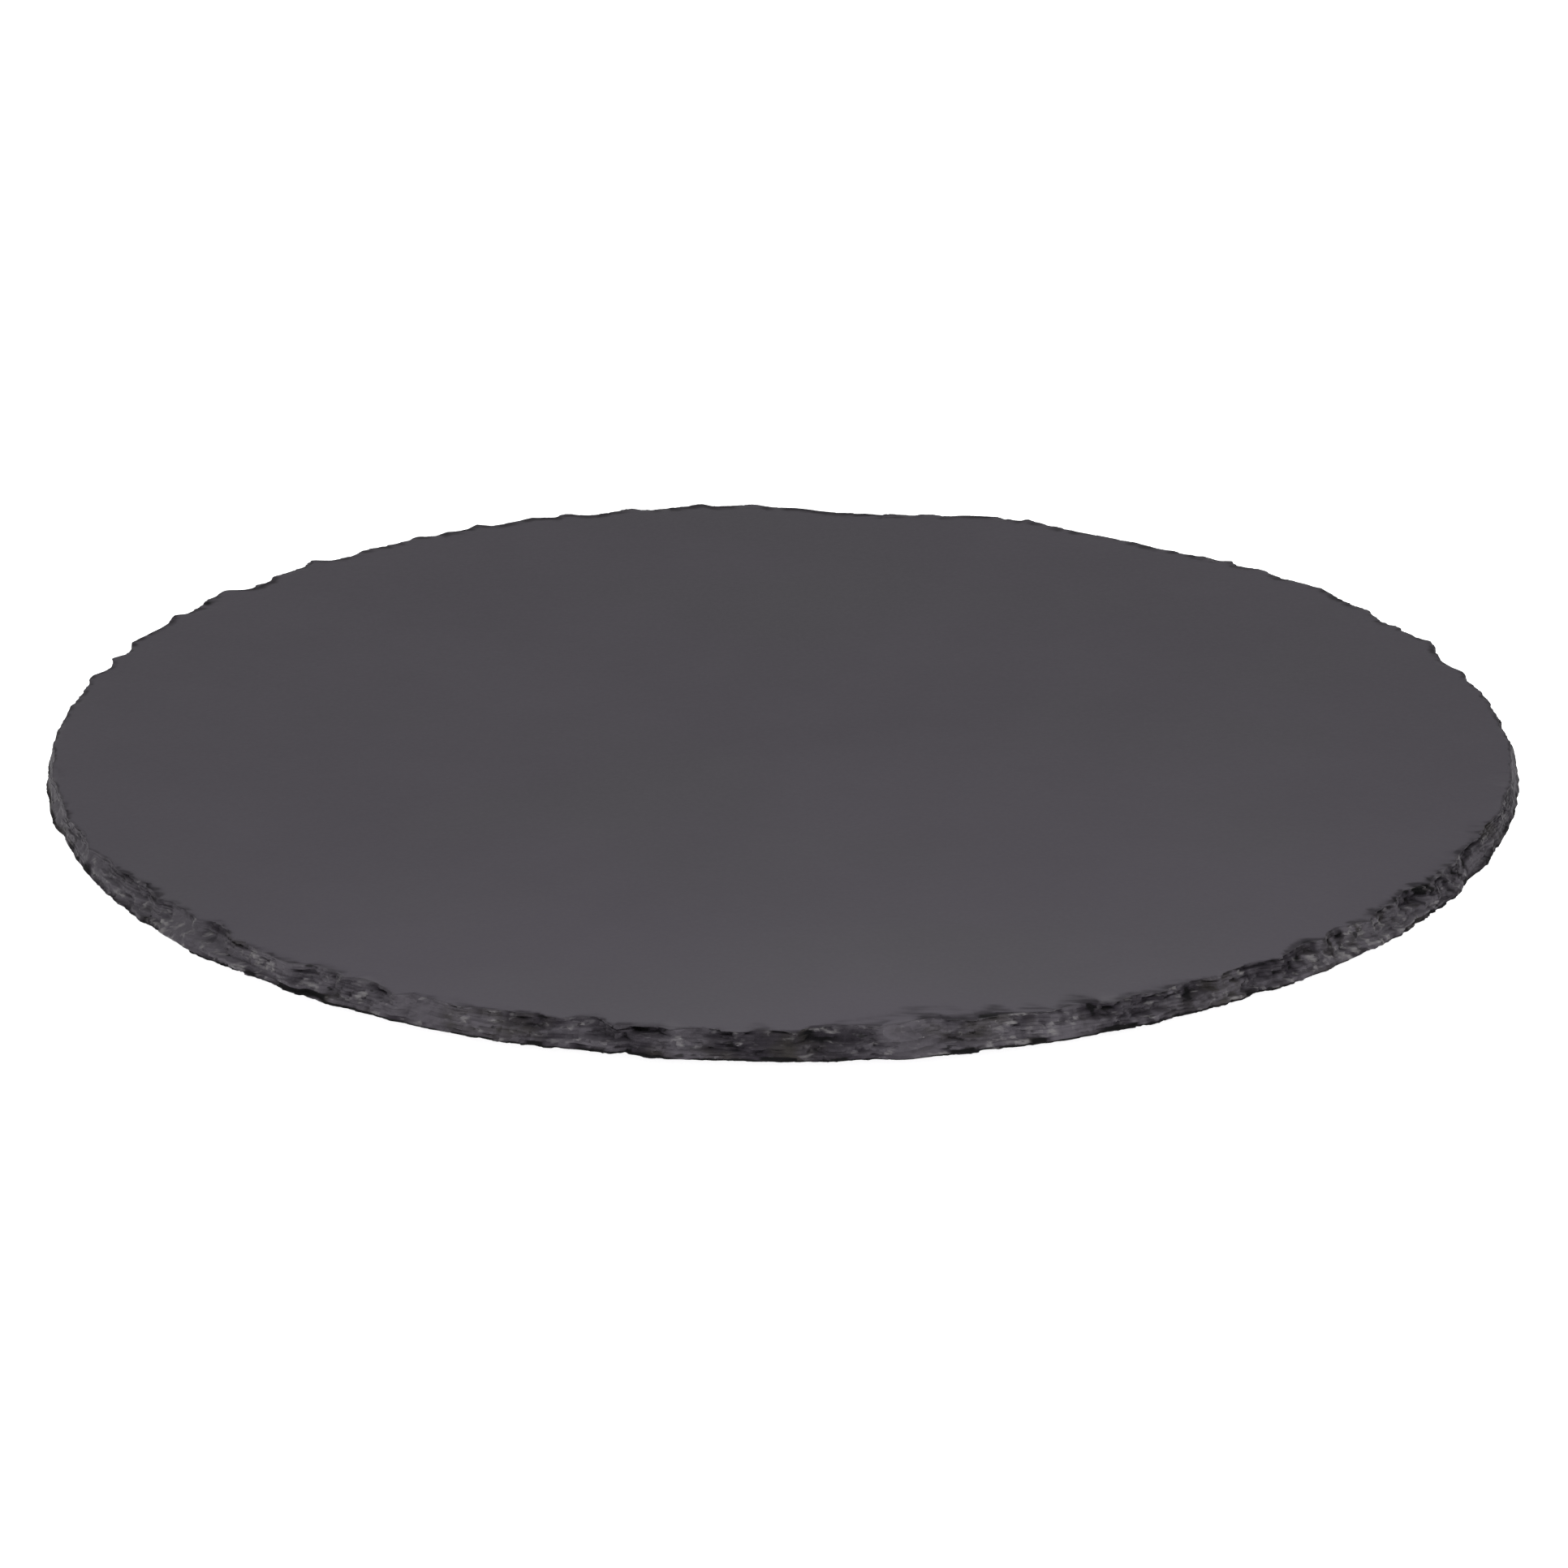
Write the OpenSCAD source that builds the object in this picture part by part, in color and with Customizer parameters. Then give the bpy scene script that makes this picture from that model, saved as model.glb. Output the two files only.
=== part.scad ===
// Round slate serving board: one split stone, dressed by hand round its rim,
// standing on four stick-on rubber feet, each held by its own adhesive film.
// Units are millimetres. The origin is on the table, under the middle of the board.

/* [Slate] */
// Diameter of the board across its sharp lip, on average
board_d = 300; // [200:5:400]
// Thickness of the stone
slate_t = 5; // [4:0.25:10]
// Width of the chipped bevel, seen from above, that the stroke shares are taken of
bevel_w = 3; // [1:0.25:6]
// How far the hand-cut outline wanders in and out of true round
wander = 0.75; // [0:0.25:3]
// Height of the sharp lip above the underside
lip_h = 0.4; // [0.2:0.1:1.5]
// How far the underside is spalled back behind the lip
undercut = 0.3; // [0.1:0.1:2]
// Ragged bite of the tool along the lip
lip_rag = 0.5; // [0:0.1:1]

/* [Feet] */
// Diameter of a foot
foot_d = 12; // [8:0.5:20]
// Height of a foot's rubber
foot_h = 1.8; // [1:0.1:4]
// Rounding of a foot's lower edge
foot_edge_r = 0.5; // [0.2:0.1:0.9]
// Distance from the lip of the board to the centre of a foot
foot_inset = 35; // [20:1:60]
// Thickness of the adhesive film between a foot and the stone
adhesive_t = 0.2; // [0.1:0.05:0.4]
// How far the film stops short of the foot's side
adhesive_setback = 0.3; // [0.1:0.1:1]

/* [Hidden] */

// The underside of the stone is carried clear of the table by a foot and its film.
underside_z = foot_h + adhesive_t;

// Directions of the feet, in degrees from +X, with the board's front towards -Y
FRONT_LEFT = 225;
FRONT_RIGHT = 315;
BACK_LEFT = 135;
BACK_RIGHT = 45;

// Fineness of the round feet
ROUND_FN = 64;

// One column of the rim for each degree
COLUMNS = 360;

// How far the chipped block runs past both faces of the stone, which are then cut flat
CUT = 1;

// The outline is very slightly lobed, with its first lobe at this angle.
LOBES = 3;
LOBE_TURN = 21;

// The strokes of the dressing tool, one row each, counter-clockwise from +X: the whole
// degree at which the stroke starts, how far in its corner stands on the top face, and how
// much deeper it bites between its corners. The last two are shares of the bevel width.
stroke_shares = [
    [0, 0.4, 0.3], [10, 0.6, 0.4], [16, 0.6, 0.8], [23, 0.2, 0.4], [27, 0.7, 0.6],
    [32, 0.7, 0.6], [38, 0.5, 0.4], [45, 0.9, 0.5], [48, 0.8, 0.6], [52, 1.8, 0.3],
    [57, 1.8, 0.2], [63, 1.6, 0.4], [68, 0.6, 0.5], [71, 0.8, 0.5], [85, 2.5, 0.1],
    [89, 1.6, 0.2], [93, 0.7, 0.6], [97, 0.3, 0.7], [103, 0.4, 0.9], [109, 0.5, 0.5],
    [112, 0.3, 0.7], [117, 0.3, 0.4], [120, 0.6, 0.3], [123, 0.6, 0.3], [128, 0.6, 1.0],
    [133, 0.0, 0.4], [138, 0.6, 1.0], [143, 0.0, 0.2], [146, 0.1, 0.6], [150, 0.1, 0.5],
    [157, 0.3, 0.6], [161, 0.4, 0.6], [165, 0.3, 0.3], [172, 0.4, 0.2], [180, 0.3, 0.2],
    [188, 0.3, 0.4], [196, 0.4, 0.4], [203, 0.5, 0.3], [208, 0.8, 0.6], [215, 0.9, 0.4],
    [220, 1.2, 0.8], [225, 0.8, 0.3], [231, 0.6, 0.7], [236, 1.2, 0.5], [241, 0.6, 0.5],
    [246, 0.9, 0.3], [254, 1.3, 0.9], [258, 0.9, 0.4], [262, 1.1, 0.6], [267, 0.9, 0.4],
    [271, 1.1, 0.8], [277, 1.5, 0.8], [284, 1.3, 0.3], [290, 1.1, 0.6], [294, 0.7, 0.4],
    [299, 0.9, 0.4], [304, 0.9, 0.5], [310, 0.8, 0.5], [315, 1.1, 0.7], [320, 0.7, 0.3],
    [324, 0.9, 0.7], [329, 0.7, 0.4], [334, 0.8, 0.4], [339, 0.8, 0.3], [345, 0.5, 0.2],
    [352, 0.4, 0.2]
];
STROKES = len(stroke_shares);

// The stone breaks in steps along its cleavage. Each stroke has its own seeded share, from
// the first number to the second, for where its bite is deepest across the stroke, how much
// of the thickness the steep step under the top face takes, how far in from the lip the
// middle of the bevel stands, and at what height, between the lip and the step.
DEEPEST_SEED = 11;
STEP_SEED = 23;
MIDDLE_IN_SEED = 37;
MIDDLE_UP_SEED = 41;
RAG_SEED = 53;
deepest_shares = rands(0.25, 0.75, STROKES, DEEPEST_SEED);
step_shares = rands(0.14, 0.42, STROKES, STEP_SEED);
middle_in_shares = rands(0.3, 0.6, STROKES, MIDDLE_IN_SEED);
middle_up_shares = rands(0.3, 0.6, STROKES, MIDDLE_UP_SEED);
rag_shares = rands(0, 1, COLUMNS, RAG_SEED);

// How much of the bevel's run the steep step under the top face takes
step_run_share = 0.15;

SLATE_GREY = [0.3, 0.29, 0.31];
RUBBER_BLACK = [0.07, 0.07, 0.07];
ADHESIVE_GREY = [0.75, 0.75, 0.72];

function mix(from, to, share) = from + (to - from) * share;

// A bite rises steeply from each corner and is deepest at the share called peak.
function scallop(u, peak) = u < peak ? sin(90 * u / peak) : sin(90 * (1 - u) / (1 - peak));

function stroke_start(i) = stroke_shares[i % STROKES][0] + (i < STROKES ? 0 : 360);
function stroke_corner(i) = bevel_w * stroke_shares[i % STROKES][1];
function stroke_bite(i) = bevel_w * stroke_shares[i % STROKES][2];

// The stroke that a column of the rim lies in
function stroke_at(angle) = len([for (i = [0 : STROKES - 1]) if (stroke_start(i) <= angle) i]) - 1;

function outline_r(angle) = board_d / 2 + wander * cos(LOBES * (angle - LOBE_TURN));

// One column of the rim, from the underside up to the top face: how far in from the outline
// each of its points stands, and its height above the underside.
function rim_column(angle) =
    let (
        i = stroke_at(angle),
        u = (angle - stroke_start(i)) / (stroke_start(i + 1) - stroke_start(i)),
        next = (i + 1) % STROKES,
        rag = lip_rag * rag_shares[angle],
        top_in = mix(stroke_corner(i), stroke_corner(i + 1), u)
            + stroke_bite(i) * scallop(u, deepest_shares[i]),
        step_h = slate_t * mix(step_shares[i], step_shares[next], u),
        step_in = top_in * (1 - step_run_share),
        middle_in = step_in * mix(middle_in_shares[i], middle_in_shares[next], u),
        middle_up = mix(lip_h, slate_t - step_h, mix(middle_up_shares[i], middle_up_shares[next], u))
    )
    [
        [rag + undercut, -CUT],
        [rag + undercut, 0],
        [rag, lip_h],
        [rag + middle_in, middle_up],
        [rag + step_in, slate_t - step_h],
        [rag + top_in, slate_t],
        [rag + top_in, slate_t + CUT]
    ];

LEVELS = 7;
rim = [for (angle = [0 : COLUMNS - 1]) rim_column(angle)];

function rim_point(angle, level) =
    let (r = outline_r(angle) - rim[angle][level][0])
    [r * cos(angle), r * sin(angle), rim[angle][level][1]];

// The points run level by level, from the lowest up.
rim_points = [for (level = [0 : LEVELS - 1], angle = [0 : COLUMNS - 1]) rim_point(angle, level)];

// The board is centred on its own widest extents.
function middle_of(values) = (max(values) + min(values)) / 2;
board_middle = [middle_of([for (p = rim_points) p[0]]), middle_of([for (p = rim_points) p[1]])];

function point_at(angle, level) = level * COLUMNS + angle % COLUMNS;

module chipped_block()
{
    below = [[for (angle = [0 : COLUMNS - 1]) point_at(angle, 0)]];
    above = [[for (angle = [COLUMNS - 1 : -1 : 0]) point_at(angle, LEVELS - 1)]];
    chips = [
        for (level = [0 : LEVELS - 2], angle = [0 : COLUMNS - 1])
            each [
                [point_at(angle, level), point_at(angle, level + 1), point_at(angle + 1, level)],
                [point_at(angle + 1, level), point_at(angle, level + 1), point_at(angle + 1, level + 1)]
            ]
    ];
    polyhedron(points = rim_points, faces = concat(below, above, chips));
}

// The block is cut flat above and below by a slab that is far wider than the board.
module slate_board()
{
    color(SLATE_GREY)
        translate([-board_middle[0], -board_middle[1], underside_z])
            intersection()
            {
                chipped_block();
                cylinder(r = board_d, h = slate_t, $fn = ROUND_FN);
            }
}

// Places its children under the stone, at a foot's centre.
module at_foot(direction)
{
    rotate([0, 0, direction])
        translate([board_d / 2 - foot_inset, 0, 0])
            children();
}

module foot(direction)
{
    flat_r = foot_d / 2 - foot_edge_r;
    color(RUBBER_BLACK)
        at_foot(direction)
            rotate_extrude($fn = ROUND_FN)
            {
                square([flat_r, foot_h]);
                translate([0, foot_edge_r])
                    square([foot_d / 2, foot_h - foot_edge_r]);
                intersection()
                {
                    translate([flat_r, foot_edge_r])
                        circle(r = foot_edge_r, $fn = ROUND_FN);
                    square([foot_d / 2, foot_h]);
                }
            }
}

module adhesive(direction)
{
    color(ADHESIVE_GREY)
        at_foot(direction)
            translate([0, 0, foot_h])
                cylinder(d = foot_d - 2 * adhesive_setback, h = adhesive_t, $fn = ROUND_FN);
}

slate_board();
foot(FRONT_LEFT);  // foot_front_left
foot(FRONT_RIGHT);  // foot_front_right
foot(BACK_LEFT);  // foot_back_left
foot(BACK_RIGHT);  // foot_back_right
adhesive(FRONT_LEFT);  // adhesive_front_left
adhesive(FRONT_RIGHT);  // adhesive_front_right
adhesive(BACK_LEFT);  // adhesive_back_left
adhesive(BACK_RIGHT);  // adhesive_back_right
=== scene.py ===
import math

import bmesh
import bpy
import numpy as np
from mathutils import Matrix, Vector, noise
from mathutils.bvhtree import BVHTree


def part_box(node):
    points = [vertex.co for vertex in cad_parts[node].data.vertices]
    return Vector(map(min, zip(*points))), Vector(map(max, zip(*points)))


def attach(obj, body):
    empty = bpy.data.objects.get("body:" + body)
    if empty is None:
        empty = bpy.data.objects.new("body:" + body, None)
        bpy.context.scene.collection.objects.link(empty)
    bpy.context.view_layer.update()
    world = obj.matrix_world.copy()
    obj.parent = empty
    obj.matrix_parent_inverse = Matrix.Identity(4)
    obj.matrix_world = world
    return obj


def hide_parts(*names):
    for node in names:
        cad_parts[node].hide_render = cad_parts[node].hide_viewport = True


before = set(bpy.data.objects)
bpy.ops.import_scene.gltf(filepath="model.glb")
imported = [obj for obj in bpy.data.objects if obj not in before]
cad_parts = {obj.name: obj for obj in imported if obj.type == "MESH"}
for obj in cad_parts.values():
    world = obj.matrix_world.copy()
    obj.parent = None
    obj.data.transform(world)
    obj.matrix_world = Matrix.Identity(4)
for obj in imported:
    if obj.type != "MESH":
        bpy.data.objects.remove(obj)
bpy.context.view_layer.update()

# The slate board
# One stone, split along its cleavage and then dressed round its rim by hand, so that the rim
# is a stack of broken layers. It starts as a round blank: a wall with two rows of points for
# each layer, closed above and below by a finely divided field.
stone_low, stone_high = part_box("slate_board")
stone_t = stone_high.z - stone_low.z

RIM_COLUMNS = 2400
BLANK_R = 0.152
FIELD_R = 0.137
# Step from the innermost ring in to the ring of fewer points that holds the field's net
FIELD_STEP = 0.002

# Shares of the thickness at which the layers part, from the underside up
LAYER_SHARES = (0, 0.08, 0.2, 0.31, 0.43, 0.55, 0.66, 0.77, 0.87, 0.95, 1)
LAYERS = len(LAYER_SHARES) - 1
# Half the height of the worn corner between a layer and its ledge, as a share of the thickness
CORNER_SHARE = 0.006
row_shares = []
for low_share, high_share in zip(LAYER_SHARES, LAYER_SHARES[1:]):
    row_shares += [low_share + CORNER_SHARE, high_share - CORNER_SHARE]
row_shares[0] = 0
row_shares[-1] = 1
row_heights = [stone_low.z + stone_t * share for share in row_shares]
ROWS = len(row_heights)

bpy.ops.object.select_all(action="DESELECT")
bpy.ops.mesh.primitive_circle_add(vertices=RIM_COLUMNS, radius=BLANK_R, location=(0, 0, stone_low.z))
bpy.ops.object.transform_apply()
stone = bpy.context.object
stone.name = "stone"
bpy.ops.object.mode_set(mode="EDIT")
for below, above in zip(row_heights, row_heights[1:]):
    bpy.ops.mesh.extrude_edges_move(TRANSFORM_OT_translate={"value": (0, 0, above - below)})

# How near to a ring's radius and height its points are
RING_CLEAR = 0.00002


def open_ring(shell, radius, height):
    """The corners of the open ring of edges at that radius and height, in order of angle."""
    corners = [
        corner for corner in shell.verts
        if (corner.is_boundary or corner.is_wire)
        and abs(corner.co.z - height) < RING_CLEAR and abs(corner.co.xy.length - radius) < RING_CLEAR
    ]
    corners.sort(key=lambda corner: math.atan2(corner.co.y, corner.co.x) % (2 * math.pi - 1e-5))
    return corners


def select_ring(radius, height):
    """Selects the open ring of edges at that radius and height, and nothing else."""
    bpy.ops.mesh.select_all(action="DESELECT")
    shell = bmesh.from_edit_mesh(stone.data)
    ring = set(open_ring(shell, radius, height))
    for edge in shell.edges:
        if not edge.is_manifold and ring.issuperset(edge.verts):
            edge.select_set(True)
    bmesh.update_edit_mesh(stone.data)


# Rings from the wall in to the field, as shares of the way from the field out to the wall, and
# how many points of the wall go to one point round the field
TOP_RING_SHARES = (0.97, 0.93, 0.88, 0.82, 0.74, 0.64, 0.5, 0.25, 0)
TOP_THINNING = 8
UNDER_RING_SHARES = (0.9, 0.5, 0)
UNDER_THINNING = 10
for height, ring_shares, thinning in (
    (stone_high.z, TOP_RING_SHARES, TOP_THINNING),
    (stone_low.z, UNDER_RING_SHARES, UNDER_THINNING),
):
    select_ring(BLANK_R, height)
    ring_r = BLANK_R
    for share in ring_shares:
        next_r = FIELD_R + (BLANK_R - FIELD_R) * share
        shrink = next_r / ring_r
        bpy.ops.mesh.extrude_edges_move()
        bpy.ops.transform.resize(value=(shrink, shrink, 1), center_override=(0, 0, height))
        ring_r = next_r
    field_columns = RIM_COLUMNS // thinning
    field_edge_r = FIELD_R - FIELD_STEP
    bpy.ops.mesh.primitive_circle_add(
        vertices=field_columns, radius=field_edge_r, location=(0, 0, height)
    )
    # Each point round the field takes its share of the wall's points, in a fan.
    shell = bmesh.from_edit_mesh(stone.data)
    outer = open_ring(shell, FIELD_R, height)
    inner = open_ring(shell, field_edge_r, height)
    for step, corner in enumerate(inner):
        first = step * thinning - thinning // 2
        for fan in range(first, first + thinning - 1):
            shell.faces.new((corner, outer[fan % RIM_COLUMNS], outer[(fan + 1) % RIM_COLUMNS]))
        last = first + thinning - 1
        next_corner = inner[(step + 1) % field_columns]
        shell.faces.new((corner, outer[last % RIM_COLUMNS], outer[(last + 1) % RIM_COLUMNS], next_corner))
    bmesh.update_edit_mesh(stone.data)
    select_ring(field_edge_r, height)
    bpy.ops.mesh.fill_grid(span=field_columns // 4)
bpy.ops.mesh.select_all(action="SELECT")
bpy.ops.mesh.normals_make_consistent(inside=False)
bpy.ops.object.mode_set(mode="OBJECT")

# The rim follows the frame's stone, read all round at the height of each row.
READ_FROM_R = 0.2
READ_CLEAR = 0.000001
angles = np.arange(RIM_COLUMNS) * 2 * math.pi / RIM_COLUMNS
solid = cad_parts["slate_board"].data
solid_tree = BVHTree.FromPolygons(
    [corner.co for corner in solid.vertices], [tuple(face.vertices) for face in solid.polygons]
)


def solid_radius(height):
    """The frame's stone at that height: its radius at each column."""
    height = min(max(height, stone_low.z + READ_CLEAR), stone_high.z - READ_CLEAR)
    radii = []
    for angle in angles:
        outward = Vector((math.cos(angle), math.sin(angle), 0))
        start = outward * READ_FROM_R + Vector((0, 0, height))
        hit = solid_tree.ray_cast(start, -outward)[0]
        radii.append(hit.xy.length)
    return np.array(radii)


# The radius at which noise is read round the rim, and lengths along it are measured
ARC_R = 0.148


def waver(size, seed, flatten=1.0, heights=(0.0,)):
    """Smooth noise round the rim, with bumps of that size in metres: one row for each height."""
    rows = []
    for height in heights:
        rows.append([
            noise.noise(Vector((
                ARC_R * math.cos(angle) / size,
                ARC_R * math.sin(angle) / size,
                height * flatten / size + seed,
            )))
            for angle in angles
        ])
    return np.array(rows)


smooth_r = np.array([solid_radius(height) for height in row_heights])

# Each layer breaks at its own place: it takes the solid's radius a little way up the layer,
# and a little to one side.
LAYER_READ_SHARE = 0.3
LAYER_DRIFT = math.radians(0.5)
DRIFT_SIZE = 0.004
layer_r = []
for layer in range(LAYERS):
    low_share, high_share = LAYER_SHARES[layer], LAYER_SHARES[layer + 1]
    read_share = low_share + (high_share - low_share) * LAYER_READ_SHARE
    drift = LAYER_DRIFT * waver(DRIFT_SIZE, seed=20.5 + 3 * layer)[0]
    layer_r.append(np.interp(
        angles + drift, angles, solid_radius(stone_low.z + stone_t * read_share), period=2 * math.pi
    ))
layer_r = np.array(layer_r)

# Where two layers hold together they break as one, so there are thick steps as well as thin
# ones. Each column balances every layer's own place against its hold on its neighbours; the
# outermost layers keep their places best.
LEDGE_SIZE = 0.010
GRIP = 30
own_share = np.ones(LAYERS)
own_share[:2] = 30, 5
own_share[-2:] = 4, 30
balance = np.zeros((RIM_COLUMNS, LAYERS, LAYERS))
balance[:, range(LAYERS), range(LAYERS)] = own_share
for layer in range(LAYERS - 1):
    grip = GRIP * np.clip(0.8 + 2.6 * waver(LEDGE_SIZE, seed=71.3 + 5 * layer)[0], 0, 1) ** 2
    balance[:, layer, layer] += grip
    balance[:, layer + 1, layer + 1] += grip
    balance[:, layer, layer + 1] -= grip
    balance[:, layer + 1, layer] -= grip
layer_r = np.linalg.solve(balance, (layer_r * own_share[:, None]).T[..., None])[..., 0].T

# The stone's grain runs from side to side, so every layer also breaks off in small steps
# along it, alike in each group of three layers. The steps are lower near the underside.
GRAIN_STEP = 0.0021
GRAIN_SHARE = 0.35
GRAIN_BEND_SIZE = 0.013
GRAIN_PATCH_SIZE = 0.02
LOW_LAYERS = 3
LOW_GRAIN_SHARE = 0.4
for layer in range(LAYERS):
    group = layer // 3
    y = layer_r[layer] * np.sin(angles)
    phase = y / GRAIN_STEP + 1.2 * waver(GRAIN_BEND_SIZE, seed=210.0 + 1.3 * group)[0]
    to_step = (np.floor(phase) + 0.5 - phase) * GRAIN_STEP
    strength = np.clip(0.5 + 1.5 * waver(GRAIN_PATCH_SIZE, seed=230.0 + group)[0], 0, 1)
    strength = strength * (LOW_GRAIN_SHARE if layer < LOW_LAYERS else 1)
    layer_r[layer] += to_step * GRAIN_SHARE * strength * np.sin(angles)

# Bites out of the layers. A bite has its middle as an angle, its half length along the rim in
# metres, the lowest and highest layer that it cuts, and its depth in metres.
bites = np.zeros((LAYERS, RIM_COLUMNS))


def bite_shape(middle, half, lean=0.0, blunt=0.5):
    """How deep a bite is at each column, as a share of its full depth.

    The ends are steeper the smaller blunt is, and lean moves the deepest place to one side.
    """
    along = ((angles - middle + math.pi) % (2 * math.pi) - math.pi) * ARC_R / half
    along = along + lean * (1 - along ** 2)
    return np.clip(1 - along ** 2, 0, 1) ** blunt


def bite(middle, half, lowest, highest, depth, lean=0.0, blunt=0.5):
    """Cuts a bite out of those layers, shorter and shallower under its highest one."""
    for layer in range(lowest, highest + 1):
        fade = (layer - lowest + 1) / (highest - lowest + 1)
        shape = bite_shape(middle, half * (0.65 + 0.35 * fade), lean, blunt)
        bites[layer] = np.maximum(bites[layer], shape * depth * (0.5 + 0.5 * fade))


chance = np.random.default_rng(4)

# Chips all over the rim
CHIPS = 640
for chip in range(CHIPS):
    lowest = int(chance.integers(1, LAYERS - 2))
    bite(
        middle=chance.uniform(0, 2 * math.pi),
        half=0.0006 + 0.0032 * chance.random() ** 2,
        lowest=lowest,
        highest=min(lowest + int(chance.integers(1, 4)), LAYERS - 2),
        depth=chance.uniform(0.0002, 0.0008),
        lean=chance.uniform(-0.4, 0.4),
        blunt=chance.choice([0.15, 0.3, 0.6]),
    )

# Spalls, where the thin top layer has flaked away from the edge
SPALLS = 110
for spall in range(SPALLS):
    bite(
        middle=chance.uniform(0, 2 * math.pi),
        half=chance.uniform(0.001, 0.005),
        lowest=LAYERS - 1,
        highest=LAYERS - 1,
        depth=0.0001 + 0.0006 * chance.random() ** 2,
        lean=chance.uniform(-0.6, 0.6),
        blunt=chance.choice([0.3, 0.6]),
    )

# Nibbles of the tool along the sharp lip
NIBBLES = 420
for nibble in range(NIBBLES):
    bite(
        middle=chance.uniform(0, 2 * math.pi),
        half=chance.uniform(0.0003, 0.0022),
        lowest=0,
        highest=int(chance.integers(0, 3)),
        depth=0.0001 + 0.0005 * chance.random() ** 2,
        lean=chance.uniform(-0.5, 0.5),
        blunt=chance.choice([0.15, 0.5]),
    )

# Slots, where one or two layers have broken out between their neighbours: middle in degrees,
# half length in millimetres, lowest and highest layer, depth in millimetres
for middle, half, lowest, highest, depth in (
    (8, 2, 5, 5, 0.6), (22, 3, 6, 7, 0.72), (37, 2, 3, 3, 0.6), (55, 3, 6, 6, 0.66),
    (66, 2.5, 7, 8, 0.78), (79, 3, 4, 5, 0.66), (94, 2.5, 6, 6, 0.72), (107, 3, 3, 4, 0.6),
    (121, 2, 7, 7, 0.66), (136, 3, 5, 6, 0.84), (152, 2.4, 4, 4, 0.66), (166, 3, 6, 7, 0.72),
    (181, 2.2, 7, 7, 0.66), (194, 3, 5, 6, 0.72), (208, 2.5, 6, 7, 0.72), (214, 3, 7, 7, 0.6),
    (221, 2, 4, 5, 0.6), (224.5, 2.6, 6, 7, 1.08), (229.5, 1.5, 1, 2, 0.72), (233, 2, 5, 5, 0.54),
    (239, 2.1, 6, 7, 1.02), (243, 2.5, 2, 2, 0.48), (245.6, 4.4, 0, 1, 0.78), (250, 4, 7, 7, 0.66),
    (253, 2.5, 4, 4, 0.6), (256, 5, 1, 1, 0.72), (259.6, 2.6, 6, 7, 0.9), (260, 2.4, 4, 5, 0.66),
    (266, 2.4, 4, 4, 0.84), (268, 3.4, 6, 7, 0.9), (269, 3.2, 3, 3, 0.9), (273, 7.5, 6, 7, 0.9),
    (274, 3, 2, 3, 0.72), (283, 2, 5, 5, 0.48), (286, 3, 2, 2, 0.54), (289, 2, 7, 7, 0.6),
    (293.3, 4.6, 7, 7, 0.84), (297.6, 3.8, 6, 7, 1.2), (299.9, 2.2, 5, 6, 1.08),
    (301.5, 2.4, 7, 7, 0.6), (303.4, 1.8, 6, 7, 0.96), (307.5, 4, 5, 6, 0.72), (311, 2, 2, 3, 0.6),
    (313, 3, 7, 7, 0.78), (317, 2, 6, 6, 0.66), (321.7, 3, 5, 6, 1.02), (326.8, 2.2, 5, 6, 1.08),
    (330.3, 3, 7, 7, 0.84), (334, 2, 3, 4, 0.72), (338, 2.5, 6, 7, 0.84), (344, 2, 4, 5, 0.72),
    (350, 2.5, 7, 7, 0.6),
):
    bite(math.radians(middle), half / 1000, lowest, highest, depth / 1000, blunt=0.3)

# Smooth scars, where one flake came away across all the layers, and the places between them
# where the break is stepped, from 0, smooth, to 1, all ledges
STEP_SIZE = 0.011
stepped = np.clip(0.8 + waver(STEP_SIZE, seed=31.7)[0], 0.3, 1)
# The scars that are smooth throughout: middle in degrees, half length in millimetres
calm = np.zeros(RIM_COLUMNS)
for middle, half in (
    (17, 9), (61, 11), (87, 7), (117, 6), (153, 10), (163, 9), (182, 32), (192, 18),
    (203, 10), (218, 5), (242.5, 8), (262.8, 4), (279.4, 7), (335.5, 4), (356, 26),
):
    calm = np.maximum(calm, bite_shape(math.radians(middle), half / 1000, blunt=0.7))
stepped = stepped * (1 - 0.85 * calm)

# The break is a mosaic of small flat facets, each tilted its own way.
heights_above = [height - stone_low.z for height in row_heights]
# A facet's tilt has three parts, each read from the noise at a height of its own. The facets
# are spread out there, so that neighbours are unlike.
TILT_LIFTS = (13.7, 41.3, 77.9)
TILT_SPREAD = 5.3


def facets(size, seed, flatten):
    """The facets' relief and a painted shade from each one's tilt, -1 to 1: one row for each row of
    points.
    """
    relief_rows, tilt_shade_rows = [], []
    for height in heights_above:
        reliefs, tilt_shades = [], []
        for angle in angles:
            place = Vector((
                ARC_R * math.cos(angle) / size,
                ARC_R * math.sin(angle) / size,
                height * flatten / size + seed,
            ))
            middle = noise.voronoi(place)[1][0]
            tilt_place = middle * TILT_SPREAD
            tilt = Vector([noise.noise(tilt_place + Vector((0, 0, lift))) for lift in TILT_LIFTS])
            offset = place - middle
            along = offset.y * math.cos(angle) - offset.x * math.sin(angle)
            reliefs.append(2 * tilt.x * along + 2 * tilt.y * offset.z + 0.6 * tilt.z)
            tilt_shades.append(tilt.y)
        relief_rows.append(reliefs)
        tilt_shade_rows.append(tilt_shades)
    return np.array(relief_rows), np.array(tilt_shade_rows)


LARGE_FACET = 0.0042
LARGE_FACET_DEPTH = 0.00034
SMALL_FACET = 0.0018
SMALL_FACET_DEPTH = 0.00028
# The furthest that a facet stands out of the break
FACET_OUT = 0.00012
large_relief, large_tilt_shade = facets(LARGE_FACET, seed=5.3, flatten=2.2)
small_relief, small_tilt_shade = facets(SMALL_FACET, seed=9.1, flatten=1.5)
ragged = LARGE_FACET_DEPTH * large_relief + SMALL_FACET_DEPTH * small_relief

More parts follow.
